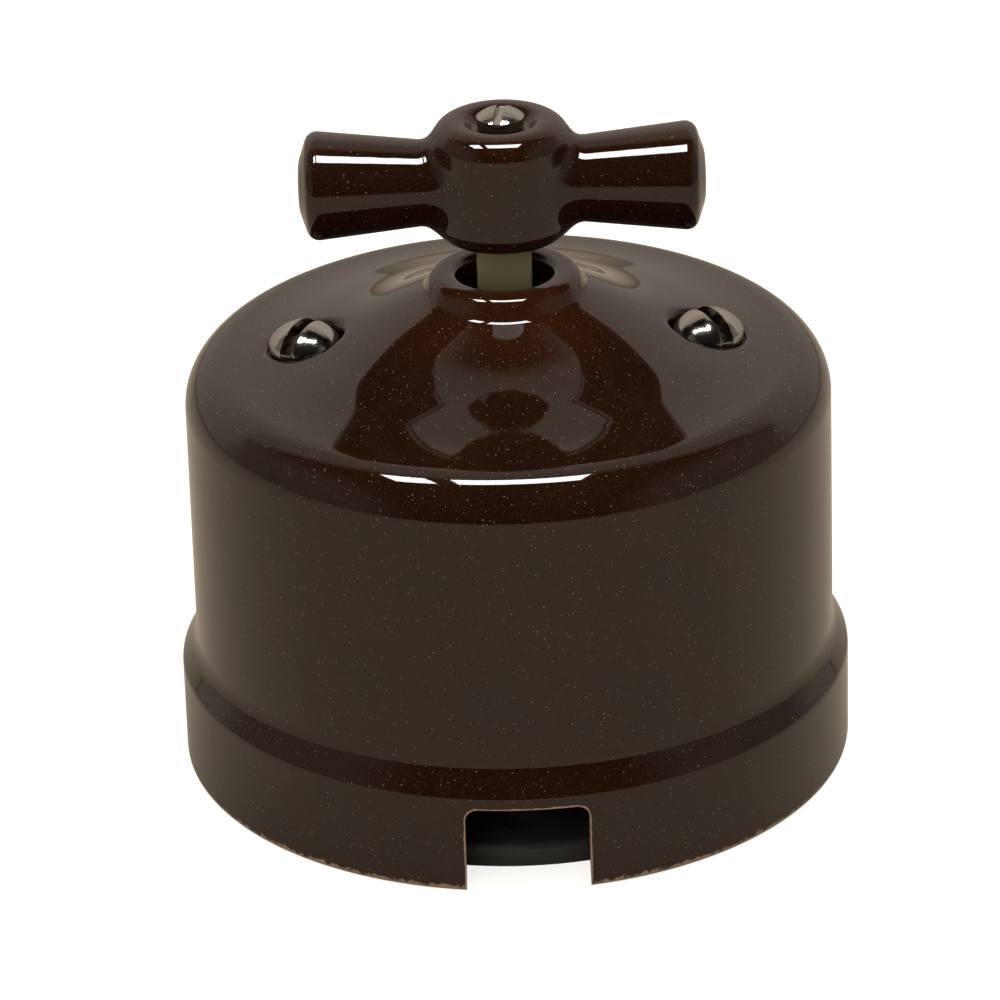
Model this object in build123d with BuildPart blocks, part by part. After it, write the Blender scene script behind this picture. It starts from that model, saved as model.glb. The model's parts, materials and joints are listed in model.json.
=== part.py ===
"""Surface-mounted rotary two-way switch with a porcelain cover and knob, in millimetres.

The origin is the centre of the rear rim, on the wall plane. +Z points out of the wall to the knob,
and the cable notch faces -Y. The two-armed blade joins two opposite contacts, so each quarter turn
of the knob changes the common terminal over from one way to the other.
"""

from build123d import *
from math import asin, cos, radians, sin, sqrt
import os

os.makedirs("parts", exist_ok=True)

# Clearances
static_gap = 0.05
running_gap = 0.05
thrust_gap = 0.1
contact_gap = 0.25
cover_gap = 0.35

# Porcelain cover: heights above the wall and radii about the axis
rim_radius = 35.0
wall_radius = 33.3
wall_draft = 0.09
wall_thickness = 3.35
band_height = 10.2
cove_height = 11.93
shoulder_height = 43.9
dome_rise = 0.85
dome_radius = 25.5
skirt_rise = 2.55
skirt_radius = 16.0
flare_rise = 3.9
flare_radius = 8.4
lip_rise = 2.0
lip_radius = 7.45
bore_radius = 4.85
roof_thickness = 3.1
rim_edge = 0.6
band_edge = 1.9
cove_fillet = 4.0
shoulder_fillet = 5.0
dome_fillet = 40.0
skirt_fillet = 30.0
flare_fillet = 1.8
lip_fillet = 1.5
lip_bore_fillet = 0.9
ceiling_fillet = 3.0

# Wells in the dome for the cover screws
screw_offset = 20.7
well_sink = 0.35
well_radius = 3.9
well_edge = 0.35
cover_hole_radius = 2.3

# Cable notch in the rim, and its place beside the middle
notch_width = 12.4
notch_height = 8.65
notch_corner = 1.3
notch_offset = 0.9

# Cover screws
cover_head_radius = 3.48
cover_head_side = 1.5
cover_head_dome = 2.1
cover_shank_radius = 1.95
cover_screw_length = 11.0
cover_slot_width = 1.2
cover_slot_depth = 1.5
cover_slot_angle = 58.0

# Base moulding
base_thickness = 2.4
base_edge = 0.5
deck_height = 4.6
deck_radius = 19.5
ear_width = 9.0
ear_end = 26.5
boss_rise = 0.6
boss_radius = 6.5
pillar_radius = 4.5
wall_hole_spacing = 48.0
wall_hole_radius = 2.1
insert_radius = 3.0
insert_length = 9.0

# Contacts, bent from brass strip
strip_thickness = 0.8
strip_width = 5.5
strip_bend = 0.6
jaw_inner = 11.4
jaw_outer = 16.6
jaw_mouth_rise = 0.7
contact_angles = (45.0, 135.0, 225.0, 315.0)
rivet_circle = 14.2
rivet_radius = 1.25
rivet_head_radius = 2.1
rivet_head_height = 0.7
rivet_pocket_depth = 1.4

# Cage terminals and their screws
terminal_circle = 22.2
cage_wall = 1.0
cage_roof = 3.0
wire_space = 3.8
cage_length = 6.5
terminal_screw_radius = 1.25
terminal_head_radius = 2.4
terminal_head_height = 1.6
terminal_screw_length = 5.5
terminal_slot_width = 0.7

# Stack on the spindle, from the boss upwards
washer_thickness = 0.5
carrier_height = 5.2
blade_thickness = 1.2
cap_height = 3.7
spring_height = 1.3
flange_thickness = 2.1
flange_gap = 0.3
plate_thickness = 3.0
collar_rise = 0.3
cam_height = 4.5
clip_thickness = 0.6

# Spindle
square_side = 5.6
square_edge = 0.3
journal_radius = 2.5
journal_depth = 4.2
collar_radius = 5.0
flange_radius = 6.2
square_in_knob = 4.0

# Turning pieces on the square
carrier_radius = 7.5
cap_radius = 6.5
blade_width = 5.0
blade_hub_radius = 6.0
spring_thickness = 0.4
spring_outer_radius = 6.1
cam_flat = 6.0
cam_corner = 3.0
clip_radius = 6.2
clip_slit_width = 0.6
clip_slit_length = 1.2

# Bridge plate and detent springs
plate_half_width = 10.0
plate_corner = 3.0
plate_end_wall = 1.2
bridge_screw_offset = 7.3
bridge_screw_radius = 1.25
bridge_head_radius = 2.2
bridge_head_height = 1.5
bridge_screw_length = 9.0
bridge_slot_width = 0.6
lug_length = 3.0
lug_width = 3.6
lug_offset = 12.3
leaf_thickness = 0.5
leaf_height = 3.6
leaf_straight = 6.5
leaf_splay = 1.3

# Knob
knob_clearance = 4.45
hub_radius = 7.12
hub_height = 12.45
hub_foot_fillet = 3.0
hub_top_fillet = 2.2
crater_radius = 4.4
crater_depth = 1.3
crater_floor_radius = 2.9
crater_lip_fillet = 0.7
wing_height = 5.4
wing_reach = 20.65
wing_end_radius = 5.65
wing_neck_radius = 4.4
wing_neck = 8.0
wing_neck_fillet = 8.0
wing_end_dome = 1.1
wing_end_flat = 2.4
wing_end_curve = 4.0
wing_end_fillet = 1.3
wing_root_fillet = 1.6

# Knob screw and its spring washer
knob_head_radius = 2.43
knob_head_side = 0.8
knob_head_dome = 0.9
knob_screw_radius = 1.45
knob_slot_width = 0.9
knob_slot_depth = 0.9
knob_slot_angle = 80.0
knob_screw_in_spindle = 9.0
knob_washer_thickness = 0.5
knob_washer_radius = 2.35
knob_washer_slit = 0.5

# Heights worked out from the sizes above
dome_height = shoulder_height + dome_rise
skirt_height = dome_height + skirt_rise
flare_height = skirt_height + flare_rise
lip_height = flare_height + lip_rise
well_floor = dome_height - well_sink
ceiling_height = well_floor - roof_thickness
deck_top = base_thickness + deck_height
boss_top = deck_top + boss_rise
strip_top = deck_top + strip_thickness
carrier_bottom = boss_top + washer_thickness + thrust_gap
blade_bottom = carrier_bottom + carrier_height
blade_top = blade_bottom + blade_thickness
cap_top = blade_top + cap_height
flange_bottom = cap_top + spring_height
flange_top = flange_bottom + flange_thickness
plate_bottom = flange_top + flange_gap
plate_top = plate_bottom + plate_thickness
cam_bottom = plate_top + collar_rise
cam_top = cam_bottom + cam_height
knob_bottom = lip_height + knob_clearance
knob_top = knob_bottom + hub_height
wing_axis_height = knob_bottom + wing_height
socket_top = knob_bottom + square_in_knob
spindle_top = socket_top - static_gap
crater_floor = knob_top - crater_depth
knob_head_seat = crater_floor + knob_washer_thickness

# Radii and reaches worked out from the sizes above
inner_radius = wall_radius - wall_thickness
base_radius = inner_radius - cover_gap
jaw_back = jaw_outer + strip_thickness / 2
blade_reach = jaw_outer - strip_thickness / 2 - contact_gap
block_inner = jaw_back - contact_gap
block_outer = screw_offset + pillar_radius + static_gap + plate_end_wall
square_hole_side = square_side + 2 * static_gap
spring_inner_radius = square_side / sqrt(2) + contact_gap
cage_width = strip_width + 2 * cage_wall + 4 * static_gap
cage_floor = deck_top - cage_wall
cage_top = strip_top + wire_space + cage_roof
lug_middle = cam_flat + leaf_thickness / 2 + leaf_splay * 0.75


def ring_angle_plane(angle):
    """Upright plane through the axis: x runs outwards at this angle, y runs up."""
    outwards = (cos(radians(angle)), sin(radians(angle)), 0)
    across = (sin(radians(angle)), -cos(radians(angle)), 0)
    return Plane(origin=(0, 0, 0), x_dir=outwards, z_dir=across)


def ring_point(radius, angle, height):
    """Point at this radius, angle and height."""
    return (radius * cos(radians(angle)), radius * sin(radians(angle)), height)


def screw(seat, shank, length, head, side, dome):
    """Turned screw with its head's underside at seat, its shank down and a domed head up."""
    x, y, z = seat
    ball = (head**2 + dome**2) / (2 * dome)
    half = asin(head / ball) / 2
    crest = side + dome
    shoulder = (ball * sin(half), crest - ball + ball * cos(half))
    with BuildSketch(Plane(origin=seat, x_dir=(1, 0, 0), z_dir=(0, -1, 0))) as half_section:
        with BuildLine():
            Polyline((0, crest), (0, -length), (shank, -length), (shank, 0), (head, 0), (head, side))
            ThreePointArc((head, side), shoulder, (0, crest))
        make_face()
    revolve(half_section.sketch, axis=Axis((x, y, z), (0, 0, 1)))


def slot(top, width, depth, head, angle):
    """Straight screwdriver slot across a head, cut down from top."""
    across = (cos(radians(angle)), sin(radians(angle)), 0)
    with BuildSketch(Plane(origin=top, x_dir=across, z_dir=(0, 0, 1))) as cut:
        Rectangle(3 * head, width)
    extrude(cut.sketch, amount=-depth, mode=Mode.SUBTRACT)


# Cover: one revolved porcelain wall, then wells, screw holes and the cable notch.
# The section is drawn at the back, so that the seam of the revolved faces misses the wells and the notch.
with BuildPart() as cover:
    with BuildSketch(Plane.YZ):
        with BuildLine():
            FilletPolyline(
                (inner_radius, 0),
                (rim_radius, 0),
                (rim_radius, band_height),
                (wall_radius + wall_draft, cove_height),
                (wall_radius, shoulder_height),
                (dome_radius, dome_height),
                (skirt_radius, skirt_height),
                (flare_radius, flare_height),
                (lip_radius, lip_height),
                (bore_radius, lip_height),
                (bore_radius, ceiling_height),
                (inner_radius, ceiling_height),
                radius=[
                    0,
                    rim_edge,
                    band_edge,
                    cove_fillet,
                    shoulder_fillet,
                    dome_fillet,
                    skirt_fillet,
                    flare_fillet,
                    lip_fillet,
                    lip_bore_fillet,
                    0,
                    ceiling_fillet,
                ],
                close=True,
            )
        make_face()
    revolve(axis=Axis.Z)
    with BuildSketch(Plane.XY.offset(well_floor)):
        with Locations((-screw_offset, 0), (screw_offset, 0)):
            Circle(well_radius)
    extrude(amount=lip_height - well_floor, mode=Mode.SUBTRACT)
    well_rims = cover.edges(Select.LAST).filter_by(GeomType.CIRCLE, reverse=True)
    fillet(well_rims, well_edge)
    with BuildSketch(Plane.XY.offset(ceiling_height)):
        with Locations((-screw_offset, 0), (screw_offset, 0)):
            Circle(cover_hole_radius)
    extrude(amount=lip_height - ceiling_height, mode=Mode.SUBTRACT)
    with BuildSketch(Plane.XZ.offset(inner_radius / 2)):
        with Locations((notch_offset, 0)):
            Rectangle(notch_width, 2 * notch_height)
        fillet(vertices().group_by(Axis.Y)[-1], notch_corner)
    extrude(amount=rim_radius, mode=Mode.SUBTRACT)
cover.part.label = "cover"
export_step(cover.part, "parts/cover.step")

# Cover screws: domed heads, with slots that mirror each other
with BuildPart() as cover_screws:
    for side in (-1, 1):
        seat = (side * screw_offset, 0, well_floor)
        crest = (side * screw_offset, 0, well_floor + cover_head_side + cover_head_dome)
        head = (cover_head_radius, cover_head_side, cover_head_dome)
        screw(seat, cover_shank_radius, cover_screw_length, *head)
        slot(crest, cover_slot_width, cover_slot_depth, cover_head_radius, -side * cover_slot_angle)
cover_screws.part.label = "cover_screws"
export_step(cover_screws.part, "parts/cover_screws.step")

# Base: disc, contact deck with four ears, bearing boss, blocks for the bridge plate and pillars
with BuildPart() as base:
    with BuildSketch():
        Circle(base_radius)
    extrude(amount=base_thickness)
    fillet(base.edges().group_by(Axis.Z)[-1], base_edge)
    with BuildSketch(Plane.XY.offset(base_thickness)):
        Circle(deck_radius)
        with PolarLocations(ear_end / 2, 4, start_angle=contact_angles[0]):
            Rectangle(ear_end, ear_width)
    extrude(amount=deck_height)
    with BuildSketch(Plane.XY.offset(deck_top)):
        Circle(boss_radius)
    extrude(amount=boss_rise)
    with BuildSketch(Plane.XY.offset(base_thickness)):
        with Locations((-(block_inner + block_outer) / 2, 0), ((block_inner + block_outer) / 2, 0)):
            Rectangle(block_outer - block_inner, 2 * plate_half_width)
    extrude(amount=plate_bottom - base_thickness)
    with BuildSketch(Plane.XY.offset(plate_bottom)):
        with Locations((-screw_offset, 0), (screw_offset, 0)):
            Circle(pillar_radius)
    extrude(amount=ceiling_height - plate_bottom)
    # Blind bearing for the spindle's journal
    with BuildSketch(Plane.XY.offset(boss_top)):
        Circle(journal_radius + running_gap)
    extrude(amount=-(journal_depth + thrust_gap), mode=Mode.SUBTRACT)
    # Pockets for the brass inserts, deep enough for the screws' ends
    with BuildSketch(Plane.XY.offset(ceiling_height)):
        with Locations((-screw_offset, 0), (screw_offset, 0)):
            Circle(insert_radius + static_gap)
    extrude(amount=-insert_length, mode=Mode.SUBTRACT)
    # Screw holes for the bridge plate
    with BuildSketch(Plane.XY.offset(plate_bottom)):
        with GridLocations(2 * screw_offset, 2 * bridge_screw_offset, 2, 2):
            Circle(bridge_screw_radius + static_gap)
    extrude(amount=-bridge_screw_length, mode=Mode.SUBTRACT)
    # Wall holes, through the disc
    with BuildSketch():
        with GridLocations(0, wall_hole_spacing, 1, 2):
            Circle(wall_hole_radius)
    extrude(amount=base_thickness, mode=Mode.SUBTRACT)
    # Rivet holes and the pockets of their tails
    with BuildSketch():
        with PolarLocations(rivet_circle, 4, start_angle=contact_angles[0]):
            Circle(rivet_radius + static_gap)
    extrude(amount=deck_top, mode=Mode.SUBTRACT)
    with BuildSketch():
        with PolarLocations(rivet_circle, 4, start_angle=contact_angles[0]):
            Circle(rivet_head_radius + static_gap)
    extrude(amount=rivet_pocket_depth, mode=Mode.SUBTRACT)
    # Recesses that hold the cage terminals from turning
    for angle in (contact_angles[0], contact_angles[2], contact_angles[3]):
        with BuildSketch(Plane.XY.offset(deck_top)):
            with PolarLocations(terminal_circle, 1, start_angle=angle):
                Rectangle(cage_length + 2 * static_gap, cage_width + 2 * static_gap)
        extrude(amount=-cage_wall, mode=Mode.SUBTRACT)
base.part.label = "base"
export_step(base.part, "parts/base.step")

# Threaded brass inserts in the pillars
with BuildPart() as threaded_inserts:
    with BuildSketch(Plane.XY.offset(ceiling_height)):
        with Locations((-screw_offset, 0), (screw_offset, 0)):
            Circle(insert_radius)
            Circle(cover_shank_radius + static_gap, mode=Mode.SUBTRACT)
    extrude(amount=-insert_length)
threaded_inserts.part.label = "threaded_inserts"
export_step(threaded_inserts.part, "parts/threaded_inserts.step")


def contact_strip(angle):
    """One contact: a foot on the deck, a riser, and a jaw open towards the axis."""
    foot = deck_top + strip_thickness / 2
    lower = blade_bottom - contact_gap - strip_thickness / 2
    upper = blade_top + contact_gap + strip_thickness / 2
    with BuildSketch(ring_angle_plane(angle)) as edge_view:
        with BuildLine():
            FilletPolyline(
                (ear_end - cage_wall, foot),
                (jaw_inner, foot),
                (jaw_inner, lower),
                (jaw_outer, lower),
                (jaw_outer, upper),
                (jaw_inner, upper),
                (jaw_inner - jaw_mouth_rise, upper + jaw_mouth_rise),
                radius=strip_bend,
            )
        trace(line_width=strip_thickness)
    extrude(edge_view.sketch, amount=strip_width / 2, both=True)


def rivet_hole(angle):
    """Hole in a contact's foot for its rivet."""
    x, y, z = ring_point(rivet_circle, angle, deck_top)
    with BuildSketch(Plane.XY.offset(z)) as hole:
        with Locations((x, y)):
            Circle(rivet_radius + static_gap)
    extrude(hole.sketch, amount=strip_thickness, mode=Mode.SUBTRACT)


# Common contact: two jaws on one stamping, joined by an arc behind the axis
with BuildPart() as common_contact:
    for angle in contact_angles[:2]:
        contact_strip(angle)
    link_middle = rivet_circle + rivet_head_radius + strip_width / 4
    with BuildSketch(Plane.XY.offset(deck_top)):
        with BuildLine():
            CenterArc((0, 0), link_middle, contact_angles[0], contact_angles[1] - contact_angles[0])
        trace(line_width=strip_width / 2)
    extrude(amount=strip_thickness)
    for angle in contact_angles[:2]:
        rivet_hole(angle)
common_contact.part.label = "common_contact"
export_step(common_contact.part, "parts/common_contact.step")

# Contact of the first way
with BuildPart() as first_contact:
    contact_strip(contact_angles[2])
    rivet_hole(contact_angles[2])
first_contact.part.label = "first_contact"
export_step(first_contact.part, "parts/first_contact.step")

# Contact of the second way
with BuildPart() as second_contact:
    contact_strip(contact_angles[3])
    rivet_hole(contact_angles[3])
second_contact.part.label = "second_contact"
export_step(second_contact.part, "parts/second_contact.step")

# Contact rivets: domed heads on the feet, tails spread in the base's pockets
with BuildPart() as contact_rivets:
    for angle in contact_angles:
        seat = ring_point(rivet_circle, angle, strip_top)
        length = strip_top - rivet_pocket_depth
        screw(seat, rivet_radius, length, rivet_head_radius, rivet_head_height / 2, rivet_head_height / 2)
        x, y, z = seat
        with BuildSketch(Plane.XY.offset(rivet_pocket_depth)):
            with Locations((x, y)):
                Circle(rivet_head_radius)
        extrude(amount=-rivet_head_height)
contact_rivets.part.label = "contact_rivets"
export_step(contact_rivets.part, "parts/contact_rivets.step")


def cage(angle):
    """Cage terminal: a square tube round the contact's foot, with a screw hole in its roof."""
    across = (-sin(radians(angle)), cos(radians(angle)), 0)
    outwards = ring_point(1, angle, 0)
    start = ring_point(terminal_circle - cage_length / 2, angle, 0)
    with BuildSketch(Plane(origin=start, x_dir=across, z_dir=outwards)) as tube:
        with Locations((0, (cage_floor + cage_top) / 2)):
            Rectangle(cage_width, cage_top - cage_floor)
        fillet(vertices(), strip_bend)
        with Locations((0, deck_top + (strip_thickness + wire_space) / 2)):
            window = cage_width - 2 * cage_wall
            Rectangle(window, strip_thickness + wire_space, mode=Mode.SUBTRACT)
    extrude(tube.sketch, amount=cage_length)
    x, y, z = ring_point(terminal_circle, angle, cage_top)
    with BuildSketch(Plane.XY.offset(z)) as hole:
        with Locations((x, y)):
            Circle(terminal_screw_radius + static_gap)
    extrude(hole.sketch, amount=-cage_roof, mode=Mode.SUBTRACT)


# Common terminal
with BuildPart() as terminal_common:
    cage(contact_angles[0])
terminal_common.part.label = "terminal_common"
export_step(terminal_common.part, "parts/terminal_common.step")

# Terminal of the first way
with BuildPart() as terminal_first:
    cage(contact_angles[2])
terminal_first.part.label = "terminal_first"
export_step(terminal_first.part, "parts/terminal_first.step")

# Terminal of the second way
with BuildPart() as terminal_second:
    cage(contact_angles[3])
terminal_second.part.label = "terminal_second"
export_step(terminal_second.part, "parts/terminal_second.step")

# Terminal screws
with BuildPart() as terminal_screws:
    for angle in (contact_angles[0], contact_angles[2], contact_angles[3]):
        seat = ring_point(terminal_circle, angle, cage_top)
        crest = ring_point(terminal_circle, angle, cage_top + terminal_head_height)
        side = terminal_head_height * 0.75
        dome = terminal_head_height * 0.25
        screw(seat, terminal_screw_radius, terminal_screw_length, terminal_head_radius, side, dome)
        slot(crest, terminal_slot_width, side, terminal_head_radius, angle)
terminal_screws.part.label = "terminal_screws"
export_step(terminal_screws.part, "parts/terminal_screws.step")


def leaf_path(side):
    """Middle line of one detent spring, straight along the cam's flat with both ends splayed."""
    near = side * (cam_flat + thrust_gap + leaf_thickness / 2)
    far = near + side * leaf_splay
    end = lug_offset + lug_length
    FilletPolyline(
        (-end, far),
        (-leaf_straight, near),
        (leaf_straight, near),
        (end, far),
        radius=2 * leaf_thickness,
    )


# Bridge plate: rests on the base's blocks, carries the spindle's collar and the detent springs
with BuildPart() as bridge_plate:
    with BuildSketch(Plane.XY.offset(plate_bottom)):
        RectangleRounded(2 * block_outer, 2 * plate_half_width, plate_corner)
        with Locations((-screw_offset, 0), (screw_offset, 0)):
            Circle(pillar_radius + static_gap, mode=Mode.SUBTRACT)
        with GridLocations(2 * screw_offset, 2 * bridge_screw_offset, 2, 2):
            Circle(bridge_screw_radius + static_gap, mode=Mode.SUBTRACT)
        Circle(collar_radius + running_gap, mode=Mode.SUBTRACT)
    extrude(amount=plate_thickness)
    # Lugs with slots that follow the springs' ends
    with BuildSketch(Plane.XY.offset(plate_top)):
        with GridLocations(2 * lug_offset, 2 * lug_middle, 2, 2):
            Rectangle(lug_length, lug_width)
        for side in (-1, 1):
            with BuildLine():
                leaf_path(side)
            trace(line_width=leaf_thickness + 2 * static_gap, mode=Mode.SUBTRACT)
    extrude(amount=leaf_height)
bridge_plate.part.label = "bridge_plate"
export_step(bridge_plate.part, "parts/bridge_plate.step")

# Bridge screws
with BuildPart() as bridge_screws:
    for x in (-screw_offset, screw_offset):
        for y in (-bridge_screw_offset, bridge_screw_offset):
            side = bridge_head_height * 0.6
            dome = bridge_head_height * 0.4
            screw((x, y, plate_top), bridge_screw_radius, bridge_screw_length, bridge_head_radius, side, dome)
            slot((x, y, plate_top + side + dome), bridge_slot_width, side, bridge_head_radius, 4 * (x + y))
bridge_screws.part.label = "bridge_screws"
export_step(bridge_screws.part, "parts/bridge_screws.step")

# Detent spring in front of the cam
with BuildPart() as detent_spring_front:
    with BuildSketch(Plane.XY.offset(plate_top)):
        with BuildLine():
            leaf_path(-1)
        trace(line_width=leaf_thickness)
    extrude(amount=leaf_height)
detent_spring_front.part.label = "detent_spring_front"
export_step(detent_spring_front.part, "parts/detent_spring_front.step")

# Detent spring behind the cam
with BuildPart() as detent_spring_back:
    with BuildSketch(Plane.XY.offset(plate_top)):
        with BuildLine():
            leaf_path(1)
        trace(line_width=leaf_thickness)
    extrude(amount=leaf_height)
detent_spring_back.part.label = "detent_spring_back"
export_step(detent_spring_back.part, "parts/detent_spring_back.step")

# Thrust washer on the base's boss
with BuildPart() as thrust_washer:
    with BuildSketch(Plane.XY.offset(boss_top)):
        Circle(boss_radius)
        Circle(journal_radius + thrust_gap, mode=Mode.SUBTRACT)
    extrude(amount=washer_thickness)
thrust_washer.part.label = "thrust_washer"
export_step(thrust_washer.part, "parts/thrust_washer.step")


def square_profile(side):
    """Square with slightly broken corners."""
    RectangleRounded(side, side, square_edge)


# Spindle: journal, long square, flanged collar under the bridge plate, threaded core at the top
with BuildPart() as spindle:
    with BuildSketch(Plane.XY.offset(boss_top - journal_depth)):
        Circle(journal_radius)
    extrude(amount=carrier_bottom - boss_top + journal_depth)
    chamfer(spindle.edges().group_by(Axis.Z)[0], square_edge)
    with BuildSketch(Plane.XY.offset(carrier_bottom)):
        square_profile(square_side)
    extrude(amount=spindle_top - carrier_bottom)
    with BuildSketch(Plane.XY.offset(flange_bottom)):
        Circle(flange_radius)
    extrude(amount=flange_thickness)
    with BuildSketch(Plane.XY.offset(flange_bottom)):
        Circle(collar_radius)
    extrude(amount=cam_bottom - flange_bottom)
    with BuildSketch(Plane.XY.offset(spindle_top)):
        Circle(knob_screw_radius + static_gap)
    extrude(amount=-knob_screw_in_spindle, mode=Mode.SUBTRACT)
spindle.part.label = "spindle"
export_step(spindle.part, "parts/spindle.step")

# Contact carrier: insulating bush under the blade
with BuildPart() as contact_carrier:
    with BuildSketch(Plane.XY.offset(carrier_bottom)):
        Circle(carrier_radius)
    extrude(amount=carrier_height)
    chamfer(contact_carrier.edges().group_by(Axis.Z)[0], square_edge)
    with BuildSketch(Plane.XY.offset(carrier_bottom)):
        square_profile(square_hole_side)
    extrude(amount=carrier_height, mode=Mode.SUBTRACT)
contact_carrier.part.label = "contact_carrier"
export_step(contact_carrier.part, "parts/contact_carrier.step")

# Moving contact: two-armed blade with rounded tips, set between the knob's wings
with BuildPart() as moving_contact:
    blade_plane = Plane.XY.offset(blade_bottom).rotated((0, 0, contact_angles[0]))
    with BuildSketch(blade_plane):
        SlotOverall(2 * blade_reach, blade_width)
        Circle(blade_hub_radius)
    extrude(amount=blade_thickness)
    with BuildSketch(Plane.XY.offset(blade_bottom)):
        square_profile(square_hole_side)
    extrude(amount=blade_thickness, mode=Mode.SUBTRACT)
moving_contact.part.label = "moving_contact"
export_step(moving_contact.part, "parts/moving_contact.step")

# Carrier cap: insulating bush on top of the blade
with BuildPart() as carrier_cap:
    with BuildSketch(Plane.XY.offset(blade_top)):
        Circle(cap_radius)
        RectangleRounded(square_hole_side, square_hole_side, square_edge, mode=Mode.SUBTRACT)
    extrude(amount=cap_height)
    top_edges = carrier_cap.edges().group_by(Axis.Z)[-1]
    fillet(top_edges.filter_by(GeomType.CIRCLE).sort_by(SortBy.LENGTH)[-1], square_edge)
carrier_cap.part.label = "carrier_cap"
export_step(carrier_cap.part, "parts/carrier_cap.step")

# Blade spring: dished spring washer between the cap and the spindle's flange
with BuildPart() as blade_spring:
    low = cap_top + thrust_gap / 2
    high = flange_bottom - thrust_gap / 2
    with BuildSketch(Plane.XZ):
        with BuildLine():
            Polyline(
                (spring_inner_radius, low),
                (spring_outer_radius, high - spring_thickness),
                (spring_outer_radius, high),
                (spring_inner_radius, low + spring_thickness),
                close=True,
            )
        make_face()
    revolve(axis=Axis.Z)
blade_spring.part.label = "blade_spring"
export_step(blade_spring.part, "parts/blade_spring.step")

# Detent cam: four flats, one for each stopping place
with BuildPart() as detent_cam:
    with BuildSketch(Plane.XY.offset(cam_bottom)):
        RectangleRounded(2 * cam_flat, 2 * cam_flat, cam_corner)
        RectangleRounded(square_hole_side, square_hole_side, square_edge, mode=Mode.SUBTRACT)
    extrude(amount=cam_height)
detent_cam.part.label = "detent_cam"
export_step(detent_cam.part, "parts/detent_cam.step")

# Retaining clip: push-on spring disc with slits at the square's corners
with BuildPart() as retaining_clip:
    with BuildSketch(Plane.XY.offset(cam_top)):
        Circle(clip_radius)
        RectangleRounded(square_hole_side, square_hole_side, square_edge, mode=Mode.SUBTRACT)
        with PolarLocations(square_side / sqrt(2), 4, start_angle=45):
            Rectangle(clip_slit_length, clip_slit_width, mode=Mode.SUBTRACT)
    extrude(amount=clip_thickness)
retaining_clip.part.label = "retaining_clip"
export_step(retaining_clip.part, "parts/retaining_clip.step")

# Knob: turned hub with a crater, two tapered wings, blended like poured porcelain
with BuildPart() as knob:
    with BuildSketch(Plane.YZ):
        with BuildLine():
            FilletPolyline(
                (0, knob_bottom),
                (hub_radius, knob_bottom),
                (hub_radius, knob_top),
                (crater_radius, knob_top),
                (crater_floor_radius, crater_floor),
                (0, crater_floor),
                radius=[hub_foot_fillet, hub_top_fillet, crater_lip_fillet, 0],
            )
            Line((0, crater_floor), (0, knob_bottom))
        make_face()
    revolve(axis=Axis.Z)
    with BuildSketch(Plane.XZ):
        with BuildLine():
            FilletPolyline(
                (-wing_reach, wing_axis_height),
                (-wing_reach, wing_axis_height + wing_end_flat),
                (wing_end_dome - wing_reach, wing_axis_height + wing_end_radius),
                (-wing_neck, wing_axis_height + wing_neck_radius),
                (wing_neck, wing_axis_height + wing_neck_radius),
                (wing_reach - wing_end_dome, wing_axis_height + wing_end_radius),
                (wing_reach, wing_axis_height + wing_end_flat),
                (wing_reach, wing_axis_height),
                radius=[
                    wing_end_curve,
                    wing_end_fillet,
                    wing_neck_fillet,
                    wing_neck_fillet,
                    wing_end_fillet,
                    wing_end_curve,
                ],
            )
            Line((-wing_reach, wing_axis_height), (wing_reach, wing_axis_height))
        make_face()
    revolve(axis=Axis((0, 0, wing_axis_height), (1, 0, 0)))
    fillet(knob.edges().filter_by(GeomType.BSPLINE), wing_root_fillet)
    with BuildSketch(Plane.XY.offset(knob_bottom)):
        square_profile(square_hole_side)
    extrude(amount=square_in_knob, mode=Mode.SUBTRACT)
    with BuildSketch(Plane.XY.offset(socket_top)):
        Circle(knob_screw_radius + static_gap)
    extrude(amount=knob_top - socket_top, mode=Mode.SUBTRACT)
knob.part.label = "knob"
export_step(knob.part, "parts/knob.step")

# Split spring washer under the knob screw
with BuildPart() as knob_washer:
    with BuildSketch(Plane.XY.offset(crater_floor)):
        Circle(knob_washer_radius)
        Circle(knob_screw_radius + static_gap, mode=Mode.SUBTRACT)
        with Locations((0, knob_washer_radius)):
            Rectangle(knob_washer_slit, 2 * (knob_washer_radius - knob_screw_radius), mode=Mode.SUBTRACT)
    extrude(amount=knob_washer_thickness)
knob_washer.part.label = "knob_washer"
export_step(knob_washer.part, "parts/knob_washer.step")

# Knob screw: clamps the knob on the spindle's square
with BuildPart() as knob_screw:
    seat = (0, 0, knob_head_seat)
    length = knob_head_seat - spindle_top + knob_screw_in_spindle - thrust_gap
    screw(seat, knob_screw_radius, length, knob_head_radius, knob_head_side, knob_head_dome)
    crest = (0, 0, knob_head_seat + knob_head_side + knob_head_dome)
    slot(crest, knob_slot_width, knob_slot_depth, knob_head_radius, knob_slot_angle)
knob_screw.part.label = "knob_screw"
export_step(knob_screw.part, "parts/knob_screw.step")
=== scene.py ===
"""Porcelain two-way switch: glazed cover and knob, nickel screws, moulded and metal inner parts.

Sizes are in metres and are written as millimetres times MM. The origin is the centre of the rear rim on
the wall plane, +Z points out of the wall along the spindle, and the cable notch faces -Y.
"""

import json
import math

import bmesh
import bpy
import numpy as np
from bpy.props import FloatProperty, FloatVectorProperty, PointerProperty
from mathutils import Matrix, Vector


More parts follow.
